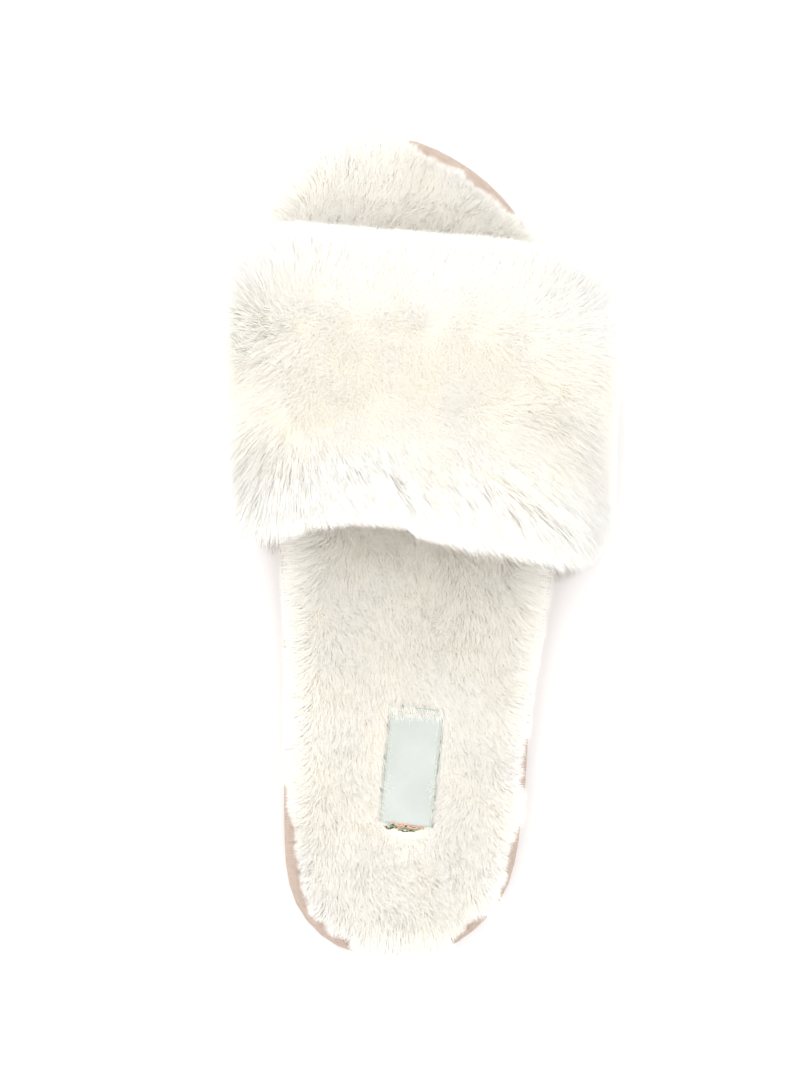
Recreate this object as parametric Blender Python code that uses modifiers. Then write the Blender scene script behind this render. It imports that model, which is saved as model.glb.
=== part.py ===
"""Fluffy house slipper for the right foot: an open-toe, open-back slide.

One wide shearling strap arches over a fabric-wrapped foam platform with a shearling footbed.
Every layer of the sole follows one outline, and every layer of the strap follows one arched
surface, so neighbouring layers keep the same small gap everywhere. All layers are built level
and are then bent together to the wedge and toe spring of the last.

+Y points to the toe, +X to the little-toe side and +Z up. The origin ends up on the ground,
below the middle of the slipper's bounding box.
"""

import math

import bmesh
import bpy
import numpy as np
from mathutils import Vector

MM = 0.001
GAP = 0.3 * MM  # between neighbouring pieces
COLLECTION = "fluffy_house_slipper"

# Sole outline in mm, clockwise from the toe tip, at the wrap's outer face.
OUTLINE_KNOTS = (
    (-14, 125.5), (4, 121.5), (23, 108.5), (38.5, 86), (46.5, 58), (45.5, 25),
    (39.5, -12), (33.5, -48), (31, -80), (25.5, -106), (10, -122), (-9, -126),
    (-28, -121.5), (-40, -106), (-42.3, -78), (-41.5, -35), (-45, 15), (-48.8, 55),
    (-48.6, 88), (-41.5, 111), (-30, 121.5),
)
OUTLINE_POINTS = 96

# Stack of the sole, bottom to top, measured level at mid length.
OUTSOLE_THICKNESS = 4.0 * MM
FILLER_THICKNESS = 1.0 * MM
MIDSOLE_THICKNESS = 12.0 * MM
BOARD_THICKNESS = 1.2 * MM
FOAM_THICKNESS = 4.0 * MM
SKIN_THICKNESS = 1.0 * MM
FOOTBED_PILE = 7.5 * MM

OUTSOLE_TOP = OUTSOLE_THICKNESS
FILLER_LOW = OUTSOLE_TOP + GAP
FILLER_TOP = FILLER_LOW + FILLER_THICKNESS
MIDSOLE_LOW = FILLER_TOP + GAP
MIDSOLE_TOP = MIDSOLE_LOW + MIDSOLE_THICKNESS
BOARD_LOW = MIDSOLE_TOP + GAP
BOARD_TOP = BOARD_LOW + BOARD_THICKNESS
FOAM_LOW = BOARD_TOP + GAP
FOAM_TOP = FOAM_LOW + FOAM_THICKNESS
FOOTBED_LOW = FOAM_TOP + GAP
FOOTBED_TOP = FOOTBED_LOW + SKIN_THICKNESS + FOOTBED_PILE

# Shape of the last: how the level stack is bent.
HEEL_WEDGE = 2.5 * MM  # the heel rises and the toe sinks by this much
HALF_LENGTH = 126.0 * MM
SPRING_START = 55.0 * MM
TOE_SPRING = 5.0 * MM
SPRING_SLICES = 6

# Tread: straight grooves across the forefoot and the heel.
OUTSOLE_INSET = 0.4 * MM
OUTSOLE_ROUND = 1.0 * MM
GROOVE_WIDTH = 3.0 * MM
GROOVE_DEPTH = 1.6 * MM
GROOVE_PITCH = 9.5 * MM
GROOVE_BORDER = 9.0 * MM
FOREFOOT_GROOVES = (26.0 * MM, 9)
HEEL_GROOVES = (-108.0 * MM, 7)

# Wrap: wall, curled-over lip at the top and margin turned under the midsole.
WRAP_THICKNESS = 1.0 * MM
WRAP_CURL = 3.0 * MM
WRAP_LIP = 3.8 * MM
WRAP_MARGIN = 13.0 * MM
CURL_STEPS = 3
WRAP_SEAM_Y = -30.0 * MM
STACK_INSET = WRAP_THICKNESS + GAP
STACK_ROUND = WRAP_CURL - STACK_INSET

# Rim seam and the footbed beside it.
RIM_THREAD = 0.35 * MM  # radius
RIM_INSET = WRAP_LIP + GAP + RIM_THREAD
FOOTBED_INSET = RIM_INSET + RIM_THREAD + GAP
FOOTBED_ROUND = 3.0 * MM

# Strap: layers as distances from its middle surface, which is the interlining's.
INTERLINING = 1.5 * MM
LAYER_GAP = 0.5 * MM  # between the strap's curved layers
LINING = 3.5 * MM
STRAP_PILE = 10.0 * MM
INTERLINING_OUT = INTERLINING / 2
LINING_OUT = -INTERLINING_OUT - LAYER_GAP
LINING_IN = LINING_OUT - LINING
SHEARLING_IN = INTERLINING_OUT + LAYER_GAP
SHEARLING_OUT = SHEARLING_IN + SKIN_THICKNESS + STRAP_PILE
STRAP_INSET = FOOTBED_INSET + INTERLINING_OUT + GAP
SHEARLING_BASE = FOOTBED_LOW + WRAP_THICKNESS + GAP
STRAP_FRONT_HEIGHT = 37.0 * MM
STRAP_REAR_HEIGHT = 54.0 * MM
STRAP_HALF_WIDTH = 45.5 * MM  # of the arch, above where its feet follow the sole's rim
STRAP_FOOT_TOP, STRAP_ARCH_START = 0.04, 0.36  # shares of the height between which it widens
INSTEP_SHIFT = -3.0 * MM  # the instep's ridge lies towards the big-toe side
PILE_OVERHANG = 5.0 * MM  # the pile's reach past the skin's cut edges
SEAM_ALLOWANCE = 1.6 * MM
INTERLINING_SETBACK = 3.5 * MM
STRAP_COLUMNS = 26
STRAP_ROWS = 7
STRAP_EDGE_ROUND = 4.5 * MM

# The skin's cut edges in plan, as (share of the way across, y in mm) from the big-toe side.
FRONT_EDGE = ((0, 78), (0.25, 89), (0.5, 90), (0.75, 84), (1, 71))
REAR_EDGE = ((0, 3), (0.25, 13), (0.5, 11), (0.75, 3), (1, -4))
# Half of the strap's section, as (share of half width, share of height) from below the rim up.
ARCH_KNOTS = ((1, -0.2), (1, 0.02), (1, 0.2), (0.99, 0.42), (0.84, 0.76), (0.48, 0.95), (0, 1))

# Seam threads of the strap, wrap and label.
SEAM_THREAD = 0.3 * MM  # radius
STITCH_PITCH = 5.0 * MM
SIDE_SEAM_INSET = STRAP_INSET - LINING_IN + GAP + SEAM_THREAD
STRAP_CLEAR_INSET = SIDE_SEAM_INSET + SEAM_THREAD + GAP
STRAP_CLEAR_REACH = 8.0 * MM

# Label: a ribbon pressed into the heel half of the footbed.
LABEL_SIZE = (16.0 * MM, 35.0 * MM, 0.5 * MM)
LABEL_CENTRE = (-3.2 * MM, -67.0 * MM)
LABEL_TURN = math.radians(-5.8)
LABEL_BED = 2.5 * MM  # flattened pile below the ribbon
POCKET_MARGIN = 0.8 * MM
LABEL_SEAM_END = 1.8 * MM
LABEL_STITCHES = 8

CREAM = (0.84, 0.79, 0.68, 1.0)
WARM_CREAM = (0.80, 0.71, 0.56, 1.0)
ROSE_TAN = (0.50, 0.33, 0.26, 1.0)
MINT = (0.60, 0.74, 0.66, 1.0)
THREAD = (0.62, 0.47, 0.38, 1.0)
FOAM_WHITE = (0.88, 0.87, 0.83, 1.0)
BOARD_BROWN = (0.42, 0.33, 0.24, 1.0)
RUBBER_TAN = (0.47, 0.36, 0.28, 1.0)


def clear_scene():
    for item in list(bpy.data.objects):
        bpy.data.objects.remove(item, do_unlink=True)


def make_collection(name):
    collection = bpy.data.collections.new(name)
    bpy.context.scene.collection.children.link(collection)
    return collection


def principled(name, colour, roughness):
    material = bpy.data.materials.new(name)
    material.use_nodes = True
    shader = material.node_tree.nodes["Principled BSDF"]
    shader.inputs["Base Color"].default_value = colour
    shader.inputs["Roughness"].default_value = roughness
    shader.inputs["Metallic"].default_value = 0.0
    material.diffuse_color = colour
    return material


# ---------------------------------------------------------------- curves and outlines


def catmull_rom(before, start, end, after, t):
    """Point at t on the smooth curve from start to end."""
    linear = (end - before) * t
    square = (2 * before - 5 * start + 4 * end - after) * t * t
    cube = (3 * start - before - 3 * end + after) * t**3
    return 0.5 * (2 * start + linear + square + cube)


def smooth_through(knots, steps, closed):
    """Points on the smooth curve through the knots, steps to each span."""
    knots = np.array(knots, float)
    if not closed:
        first = 2 * knots[0] - knots[1]
        last = 2 * knots[-1] - knots[-2]
        knots = np.vstack([first, knots, last])
    count = len(knots)
    spans = range(count) if closed else range(1, count - 2)
    points = []
    for i in spans:
        corners = [knots[(i + k) % count] for k in (-1, 0, 1, 2)]
        points += [catmull_rom(*corners, step / steps) for step in range(steps)]
    if not closed:
        points.append(knots[-2])
    return np.array(points)


def evenly_spaced(points, count, closed):
    """The same line with count points at equal distances."""
    if closed:
        points = np.vstack([points, points[:1]])
    lengths = np.linalg.norm(np.diff(points, axis=0), axis=1)
    travelled = np.concatenate([[0], np.cumsum(lengths)])
    wanted = np.linspace(0, travelled[-1], count, endpoint=not closed)
    return np.column_stack([np.interp(wanted, travelled, axis) for axis in points.T])


SOLE_OUTLINE = evenly_spaced(smooth_through(OUTLINE_KNOTS, 12, True) * MM, OUTLINE_POINTS, True)


def inset_outline(depth):
    """The sole outline moved inwards by depth, one value or one for each point."""
    along = np.roll(SOLE_OUTLINE, -1, axis=0) - np.roll(SOLE_OUTLINE, 1, axis=0)
    along /= np.linalg.norm(along, axis=1)[:, None]
    inward = np.column_stack([along[:, 1], -along[:, 0]])
    return SOLE_OUTLINE + inward * np.reshape(depth, (-1, 1))


def side_x(side, y, depth):
    """X of the inset outline at y, on the big-toe side (-1) or the little-toe side (+1)."""
    loop = inset_outline(depth)
    toe, heel = np.argmax(loop[:, 1]), np.argmin(loop[:, 1])
    order = np.arange(toe, heel + 1) if side > 0 else np.arange(heel, toe + len(loop) + 1)
    half = loop[order % len(loop)]
    half = half[np.argsort(half[:, 1])]
    return np.interp(y, half[:, 1], half[:, 0])


# ---------------------------------------------------------------- making solids


def solid_from_curve(guide, material, collection):
    """A closed mesh object in place of a curve object, with the curve's caps welded."""
    bpy.context.scene.collection.objects.link(guide)
    bpy.context.view_layer.update()
    evaluated = guide.evaluated_get(bpy.context.evaluated_depsgraph_get())
    mesh = bpy.data.meshes.new_from_object(evaluated)
    name = guide.name
    matrix = guide.matrix_world.copy()
    bpy.data.objects.remove(guide, do_unlink=True)
    work = bmesh.new()
    work.from_mesh(mesh)
    bmesh.ops.remove_doubles(work, verts=work.verts, dist=0.01 * MM)
    bmesh.ops.recalc_face_normals(work, faces=work.faces)
    work.to_mesh(mesh)
    work.free()
    mesh.materials.clear()
    mesh.materials.append(material)
    solid = bpy.data.objects.new(name, mesh)
    solid.matrix_world = matrix
    collection.objects.link(solid)
    return solid


def join_caps(solid):
    """Make each flat end of a plate one face, so that its rim can be rounded."""
    work = bmesh.new()
    work.from_mesh(solid.data)
    for side in (-1, 1):
        work.normal_update()
        caps = [face for face in work.faces if face.normal.z * side > 0.99]
        bmesh.ops.dissolve_faces(work, faces=caps)
    work.to_mesh(solid.data)
    work.free()


def plate(name, loop, low, high, material, collection):
    """A flat outline extruded from low to high."""
    curve = bpy.data.curves.new(name, "CURVE")
    curve.dimensions = "2D"
    curve.fill_mode = "BOTH"
    curve.extrude = (high - low) / 2
    spline = curve.splines.new("POLY")
    spline.points.add(len(loop) - 1)
    for point, (x, y) in zip(spline.points, loop):
        point.co = (x, y, 0, 1)
    spline.use_cyclic_u = True
    guide = bpy.data.objects.new(name, curve)
    guide.location.z = (low + high) / 2
    solid = solid_from_curve(guide, material, collection)
    join_caps(solid)
    return solid


def thread(name, points, radius, material, collection, closed=False):
    """A round thread along a line of points."""
    curve = bpy.data.curves.new(name, "CURVE")
    curve.dimensions = "3D"
    curve.bevel_depth = radius
    curve.bevel_resolution = 1
    curve.use_fill_caps = not closed
    spline = curve.splines.new("POLY")
    spline.points.add(len(points) - 1)
    for point, place in zip(spline.points, points):
        point.co = (*place, 1)
    spline.use_cyclic_u = closed
    return solid_from_curve(bpy.data.objects.new(name, curve), material, collection)


def round_edges(solid, width, segments):
    bevel = solid.modifiers.new("rounded_edges", "BEVEL")
    bevel.width = width
    bevel.segments = segments
    bevel.limit_method = "ANGLE"
    bevel.angle_limit = math.radians(50)
    bevel.use_clamp_overlap = False


def box_cutter(name, low, high, collection, turn=0.0):
    """A box between two corners, turned about its own vertical middle line."""
    low, high = Vector(low), Vector(high)
    bpy.ops.mesh.primitive_cube_add(size=1)
    cutter = bpy.context.active_object
    cutter.name = name
    for owner in list(cutter.users_collection):
        owner.objects.unlink(cutter)
    collection.objects.link(cutter)
    cutter.location = (low + high) / 2
    cutter.scale = high - low
    cutter.rotation_euler.z = turn
    cutter.hide_render = True
    cutter.display_type = "WIRE"
    return cutter


def cut(solid, cutter):
    boolean = solid.modifiers.new(f"cut_{cutter.name}", "BOOLEAN")
    boolean.operation = "DIFFERENCE"
    boolean.solver = "EXACT"
    boolean.object = cutter


# ---------------------------------------------------------------- the sole


def make_outsole(material, parts, cutters):
    loop = inset_outline(OUTSOLE_INSET)
    outsole = plate("outsole", loop, 0, OUTSOLE_TOP, material, parts)
    round_edges(outsole, OUTSOLE_ROUND, 2)
    for first_y, count in (FOREFOOT_GROOVES, HEEL_GROOVES):
        for index in range(count):
            y = first_y + index * GROOVE_PITCH
            low = (side_x(-1, y, GROOVE_BORDER), y - GROOVE_WIDTH / 2, -GROOVE_DEPTH)
            high = (side_x(1, y, GROOVE_BORDER), y + GROOVE_WIDTH / 2, GROOVE_DEPTH)
            cut(outsole, box_cutter(f"groove_{round(y / MM)}", low, high, cutters))


def make_wrap(material, parts, cutters):
    """The wrap's C-shaped section, swept round the outline and slit where its ends meet."""
    arc = [math.radians(90) * step / CURL_STEPS for step in range(CURL_STEPS + 1)]
    lip_top = FOOTBED_LOW + WRAP_THICKNESS
    centre = lip_top - WRAP_CURL
    inner_radius = WRAP_CURL - WRAP_THICKNESS
    section = [(WRAP_MARGIN, FILLER_LOW), (0, FILLER_LOW)]
    section += [(WRAP_CURL * (1 - math.cos(a)), centre + WRAP_CURL * math.sin(a)) for a in arc]
    section += [(WRAP_LIP, lip_top), (WRAP_LIP, FOOTBED_LOW)]
    for a in reversed(arc):
        section.append((WRAP_CURL - inner_radius * math.cos(a), centre + inner_radius * math.sin(a)))
    section += [(WRAP_THICKNESS, FILLER_TOP), (WRAP_MARGIN, FILLER_TOP)]

    work = bmesh.new()
    rings = []
    for depth, height in section:
        loop = inset_outline(depth)
        rings.append([work.verts.new((x, y, height)) for x, y in loop])
    for ring, following in zip(rings, rings[1:] + rings[:1]):
        for i in range(OUTLINE_POINTS):
            j = (i + 1) % OUTLINE_POINTS
            work.faces.new((ring[i], ring[j], following[j], following[i]))
    bmesh.ops.recalc_face_normals(work, faces=work.faces)
    mesh = bpy.data.meshes.new("sole_wrap")
    work.to_mesh(mesh)
    work.free()
    mesh.materials.append(material)
    wrap = bpy.data.objects.new("sole_wrap", mesh)
    parts.objects.link(wrap)
    x = side_x(-1, WRAP_SEAM_Y, 0)
    low = (x - WRAP_CURL, WRAP_SEAM_Y - GAP / 2, FILLER_LOW - WRAP_CURL)
    high = (x + WRAP_MARGIN + WRAP_CURL, WRAP_SEAM_Y + GAP / 2, lip_top + WRAP_CURL)
    cut(wrap, box_cutter("wrap_slit", low, high, cutters))


def make_wrap_seam(material, parts):
    """Zigzag stitches over the joint of the wrap's two ends, clear of its outer face."""
    low = FILLER_TOP + STITCH_PITCH / 2
    high = FOAM_LOW
    stitches = 7
    points = []
    for index in range(stitches + 1):
        y = WRAP_SEAM_Y + (1 if index % 2 else -1) * STITCH_PITCH / 4
        x = side_x(-1, y, 0) - GAP - SEAM_THREAD
        points.append((x, y, low + (high - low) * index / stitches))
    thread("wrap_seam_stitching", points, SEAM_THREAD, material, parts)


def make_sole_core(materials, parts):
    inner = inset_outline(STACK_INSET)
    filler = inset_outline(WRAP_MARGIN + GAP)
    plate("bottom_filler", filler, FILLER_LOW, FILLER_TOP, materials["filler"], parts)
    plate("midsole", inner, MIDSOLE_LOW, MIDSOLE_TOP, materials["foam"], parts)
    plate("insole_board", inner, BOARD_LOW, BOARD_TOP, materials["board"], parts)
    cushion = plate("cushion_foam", inner, FOAM_LOW, FOAM_TOP, materials["cushion"], parts)
    round_edges(cushion, STACK_ROUND, CURL_STEPS)


def strap_window(side):
    """Y range that the strap's layers stand on, on one side of the sole."""
    end = 0 if side < 0 else -1
    return REAR_EDGE[end][1] * MM, FRONT_EDGE[end][1] * MM


def footbed_depths():
    """Inset of the footbed at each outline point: deeper beside the strap's standing layers."""
    depths = []
    for x, y in SOLE_OUTLINE:
        rear, front = strap_window(x)
        outside = max(rear - y, y - front, 0)
        share = min(max(2 - outside / STRAP_CLEAR_REACH, 0), 1)
        depths.append(FOOTBED_INSET + (STRAP_CLEAR_INSET - FOOTBED_INSET) * share)
    return depths


def make_footbed(material, parts, cutters):
    loop = inset_outline(footbed_depths())
    footbed = plate("footbed_shearling", loop, FOOTBED_LOW, FOOTBED_TOP, material, parts)
    round_edges(footbed, FOOTBED_ROUND, 2)
    half = Vector((LABEL_SIZE[0] / 2 + POCKET_MARGIN, LABEL_SIZE[1] / 2 + POCKET_MARGIN, 0))
    middle = Vector((*LABEL_CENTRE, 0))
    low = middle - half + Vector((0, 0, FOOTBED_LOW + SKIN_THICKNESS + LABEL_BED))
    high = middle + half + Vector((0, 0, FOOTBED_TOP + FOOTBED_PILE))
    cut(footbed, box_cutter("label_pocket", low, high, cutters, LABEL_TURN))


def make_rim_stitching(material, parts):
    """Lockstitch round the rim: up and down by a thread's radius from point to point."""
    rise = RIM_THREAD / 2
    middle = FOOTBED_LOW + RIM_THREAD + rise
    points = []
    for index, (x, y) in enumerate(inset_outline(RIM_INSET)):
        points.append((x, y, middle + (rise if index % 2 else -rise)))
    thread("rim_stitching", points, RIM_THREAD, material, parts, closed=True)


# ---------------------------------------------------------------- the strap


def mirrored_arch():
    """The strap's whole section from the big-toe side over to the little-toe side."""
    half = [(-across, up) for across, up in ARCH_KNOTS]
    other = [(across, up) for across, up in reversed(ARCH_KNOTS[:-1])]
    return evenly_spaced(smooth_through(half + other, 8, False), 81, False)


ARCH = mirrored_arch()
FRONT_LINE = smooth_through(FRONT_EDGE, 8, False)
REAR_LINE = smooth_through(REAR_EDGE, 8, False)


def strap_point(across, along, base=FOOTBED_LOW):
    """A point of the strap's middle surface.

    across runs from 0 at the big-toe side to 1, along from 0 at the front edge to 1 at the rear.
    """
    steps = np.linspace(0, 1, len(ARCH))
    share = np.interp(across, steps, ARCH[:, 0])
    up = np.interp(across, steps, ARCH[:, 1])
    front = np.interp(across, FRONT_LINE[:, 0], FRONT_LINE[:, 1]) * MM
    rear = np.interp(across, REAR_LINE[:, 0], REAR_LINE[:, 1]) * MM
    y = front + (rear - front) * along
    inner, outer = side_x(-1, y, STRAP_INSET), side_x(1, y, STRAP_INSET)
    foot_x = (inner + outer) / 2 + share * (outer - inner) / 2
    arch_x = share * STRAP_HALF_WIDTH + INSTEP_SHIFT * max(up, 0)
    rise = (up - STRAP_FOOT_TOP) / (STRAP_ARCH_START - STRAP_FOOT_TOP)
    rise = min(max(rise, 0), 1)
    x = foot_x + (arch_x - foot_x) * rise * rise * (3 - 2 * rise)
    height = STRAP_FRONT_HEIGHT + (STRAP_REAR_HEIGHT - STRAP_FRONT_HEIGHT) * along
    return Vector((x, y, base + up * height))


def strap_normal(across, along):
    step = 0.01
    over = strap_point(across + step, along) - strap_point(across - step, along)
    back = strap_point(across, along + step) - strap_point(across, along - step)
    return back.cross(over).normalized()


def strap_length():
    """Length of the skin between its front and rear edges, at the crown."""
    return (strap_point(0.5, 1) - strap_point(0.5, 0)).length


def strap_layer(name, inside, outside, reach, base, material, parts, cutters):
    """One layer between two distances from the middle surface, with its foot cut level at base.

    reach is how far the layer runs past the skin's cut edges, or stops short of them if negative.
    """
    extra = reach / strap_length()
    work = bmesh.new()
    bmesh.ops.create_grid(work, x_segments=STRAP_COLUMNS, y_segments=STRAP_ROWS, size=0.5)
    for vertex in work.verts:
        across = vertex.co.x + 0.5
        along = -extra + (0.5 - vertex.co.y) * (1 + 2 * extra)
        vertex.co = strap_point(across, along)
    bmesh.ops.recalc_face_normals(work, faces=work.faces)
    if sum(face.normal.z for face in work.faces) < 0:
        bmesh.ops.reverse_faces(work, faces=work.faces)
    mesh = bpy.data.meshes.new(name)
    work.to_mesh(mesh)
    work.free()
    mesh.materials.append(material)
    layer = bpy.data.objects.new(name, mesh)
    parts.objects.link(layer)
    shell = layer.modifiers.new("thickness", "SOLIDIFY")
    shell.thickness = outside - inside
    shell.offset = 1.0 + 2 * inside / shell.thickness
    if outside - inside > 2 * STRAP_EDGE_ROUND:
        round_edges(layer, STRAP_EDGE_ROUND, 3)
    reach_out = 2 * HALF_LENGTH
    low = (-reach_out, -reach_out, base - reach_out)
    cut(layer, box_cutter(f"{name}_foot", low, (reach_out, reach_out, base), cutters))
    return layer


def seam_line(along, first, last):
    """Running stitch along the strap at one share of its length, weaving in and out of it."""
    start, end = strap_point(first, along), strap_point(last, along)
    arch_length = (start - end).length + STRAP_FRONT_HEIGHT + STRAP_REAR_HEIGHT
    stitches = 2 * round(arch_length / STITCH_PITCH / 2)
    points = []
    for index in range(stitches + 1):
        across = first + (last - first) * index / stitches
        weave = (1 if index % 2 else -1) * INTERLINING_OUT / 5
        points.append(strap_point(across, along) + strap_normal(across, along) * weave)
    return points


def side_seam_line(side):
    """Stitch line through the foot of the strap, between its lining and the footbed."""
    rear, front = strap_window(side)
    count = 2 * round((front - rear) / STITCH_PITCH / 2)
    points = []
    for index in range(count + 1):
        y = rear + (front - rear) * index / count
        rise = SEAM_THREAD * (2 if index % 2 else 1)
        points.append((side_x(side, y, SIDE_SEAM_INSET), y, FOOTBED_LOW + rise))
    return points


def make_strap(materials, parts, cutters):
    fur, fleece = materials["fur"], materials["fleece"]
    strap_layer(
        "strap_shearling", SHEARLING_IN, SHEARLING_OUT, PILE_OVERHANG, SHEARLING_BASE,
        fur, parts, cutters,
    )
    strap_layer(
        "strap_interlining", -INTERLINING_OUT, INTERLINING_OUT, -INTERLINING_SETBACK, FOOTBED_LOW,
        materials["cushion"], parts, cutters,
    )
    strap_layer("strap_lining", LINING_IN, LINING_OUT, 0, FOOTBED_LOW, fleece, parts, cutters)
    margin = SEAM_ALLOWANCE / strap_length()
    clear = 0.08
    for name, along in (("strap_front_stitching", margin), ("strap_rear_stitching", 1 - margin)):
        line = seam_line(along, clear, 1 - clear)
        thread(name, line, SEAM_THREAD, materials["thread"], parts)
    for name, side in (("strap_inner_side_stitching", -1), ("strap_outer_side_stitching", 1)):
        thread(name, side_seam_line(side), SEAM_THREAD, materials["thread"], parts)


# ---------------------------------------------------------------- the label


def on_label(right, forward, height):
    """World point from a place on the ribbon, measured from its middle."""
    x = LABEL_CENTRE[0] + right * math.cos(LABEL_TURN) - forward * math.sin(LABEL_TURN)
    y = LABEL_CENTRE[1] + right * math.sin(LABEL_TURN) + forward * math.cos(LABEL_TURN)
    return (x, y, height)


def make_label(materials, parts):
    width, length, thickness = LABEL_SIZE
    low = FOOTBED_LOW + SKIN_THICKNESS + LABEL_BED + GAP
    top = low + thickness
    corners = [(-1, -1), (-1, 1), (1, 1), (1, -1)]
    loop = [on_label(i * width / 2, j * length / 2, 0)[:2] for i, j in corners]
    plate("woven_label", loop, low, top, materials["ribbon"], parts)
    for name, end in (("label_front_stitching", 1), ("label_rear_stitching", -1)):
        forward = end * (length / 2 - LABEL_SEAM_END)
        points = []
        for index in range(LABEL_STITCHES + 1):
            right = (index / LABEL_STITCHES - 0.5) * (width - 2 * LABEL_SEAM_END)
            lift = SEAM_THREAD * (2 if index % 2 else 1)
            points.append(on_label(right, forward, top + GAP + lift))
        thread(name, points, SEAM_THREAD, materials["thread"], parts)


# ---------------------------------------------------------------- bending to the last


def last_lift(y, height):
    """How far the last moves a point up: the wedge grows through the midsole's thickness."""
    share = min(max((height - MIDSOLE_LOW) / MIDSOLE_THICKNESS, 0), 1)
    forward = max(y - SPRING_START, 0) / (HALF_LENGTH - SPRING_START)
    return TOE_SPRING * forward**2 - HEEL_WEDGE * share * y / HALF_LENGTH


def bend_to_last(solid):
    """Freeze an object's modifiers, slice it across the toe and bend it."""
    bpy.context.view_layer.update()
    evaluated = solid.evaluated_get(bpy.context.evaluated_depsgraph_get())
    mesh = bpy.data.meshes.new_from_object(evaluated)
    mesh.transform(solid.matrix_world)
    solid.modifiers.clear()
    solid.matrix_world.identity()
    work = bmesh.new()
    work.from_mesh(mesh)
    for index in range(SPRING_SLICES):
        y = SPRING_START + (HALF_LENGTH - SPRING_START) * index / SPRING_SLICES
        everything = work.verts[:] + work.edges[:] + work.faces[:]
        bmesh.ops.bisect_plane(
            work, geom=everything, dist=0.001 * MM, plane_co=(0, y, 0), plane_no=(0, 1, 0)
        )
    for vertex in work.verts:
        vertex.co.z += last_lift(vertex.co.y, vertex.co.z)
    work.to_mesh(mesh)
    work.free()
    solid.data = mesh


def centre_on_ground(solids):
    """Put the origin on the ground below the middle of the whole slipper."""
    corners = np.array([vertex.co for solid in solids for vertex in solid.data.vertices])
    low, high = corners.min(axis=0), corners.max(axis=0)
    middle = (low + high) / 2
    for solid in solids:
        for vertex in solid.data.vertices:
            vertex.co -= Vector((middle[0], middle[1], low[2]))


def main():
    clear_scene()
    parts = make_collection(COLLECTION)
    cutters = make_collection("cutters")
    materials = {
        "rubber": principled("outsole_rubber", RUBBER_TAN, 0.75),
        "filler": principled("filler_felt", BOARD_BROWN, 0.95),
        "foam": principled("midsole_foam", FOAM_WHITE, 0.85),
        "board": principled("insole_fibreboard", BOARD_BROWN, 0.9),
        "cushion": principled("cushion_foam", FOAM_WHITE, 0.9),
        "wrap": principled("wrap_fabric", ROSE_TAN, 0.85),
        "fur": principled("strap_pile", CREAM, 0.95),
        "footbed": principled("footbed_pile", CREAM, 0.95),
        "fleece": principled("lining_fleece", WARM_CREAM, 0.95),
        "ribbon": principled("label_ribbon", MINT, 0.35),
        "thread": principled("seam_thread", THREAD, 0.6),
    }
    make_outsole(materials["rubber"], parts, cutters)
    make_wrap(materials["wrap"], parts, cutters)
    make_wrap_seam(materials["thread"], parts)
    make_sole_core(materials, parts)
    make_footbed(materials["footbed"], parts, cutters)
    make_rim_stitching(materials["thread"], parts)
    make_strap(materials, parts, cutters)
    make_label(materials, parts)
    solids = list(parts.objects)
    for solid in solids:
        bend_to_last(solid)
    centre_on_ground(solids)
    for solid in solids:
        solid.data.shade_smooth()
        solid.data.set_sharp_from_angle(angle=math.radians(40))


main()
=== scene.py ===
import math

import bpy
import numpy as np
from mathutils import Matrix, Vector


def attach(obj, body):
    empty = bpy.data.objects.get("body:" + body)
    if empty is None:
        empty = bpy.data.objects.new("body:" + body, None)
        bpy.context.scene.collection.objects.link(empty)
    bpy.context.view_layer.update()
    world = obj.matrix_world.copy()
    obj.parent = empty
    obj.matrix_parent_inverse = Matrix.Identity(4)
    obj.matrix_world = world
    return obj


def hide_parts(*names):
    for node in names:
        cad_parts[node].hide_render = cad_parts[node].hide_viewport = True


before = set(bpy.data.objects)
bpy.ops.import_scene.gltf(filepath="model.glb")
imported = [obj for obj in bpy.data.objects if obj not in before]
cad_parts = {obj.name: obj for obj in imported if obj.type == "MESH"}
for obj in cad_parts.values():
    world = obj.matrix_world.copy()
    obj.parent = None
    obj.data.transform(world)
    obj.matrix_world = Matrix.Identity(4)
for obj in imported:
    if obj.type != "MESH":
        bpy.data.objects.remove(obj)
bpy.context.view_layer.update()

MM = 0.001
UP = np.array((0.0, 0.0, 1.0))
FORWARD = np.array((0.0, 1.0, 0.0))
BAKE_UV = "OFBake"  # the UV layer that the strand, wrap and label pieces carry

# Strand shape
LEVELS = 4  # points along a strand
STEPS = np.linspace(0, 1, LEVELS)
MAX_STRANDS = 39000  # in one piece
HUE_WIDTH = 0.012  # half a strand's width on the colour map

# Pile: density in strands per square metre, everything else in metres
STRAP_DENSITY = 14.0e6
FOOTBED_DENSITY = 10.5e6
LINING_DENSITY = 3.4e6
EDGE_DENSITY = 26e6
STRAP_LENGTH = 14.5 * MM
FOOTBED_LENGTH = 8.8 * MM
LINING_LENGTH = 3.6 * MM
STRAND_WIDTH = 0.16 * MM

# From part.py: layer distances of the strap, and the footbed's skin
LINING_TO_SKIN_TOP = 3.5 * MM
LINING_TO_SKIN_LOW = 2.5 * MM
SKIN = 1.0 * MM
STRAP_UNDERFUR = 8.5 * MM  # backing and the dense foot of the pile, at the strap's sides
AXIS_HEIGHT = 30.0 * MM  # the line along y that the strap arches over
ARC_RADIUS = 50.0 * MM

WEAVE_PITCH = 0.95  # mm, two yarns

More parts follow.
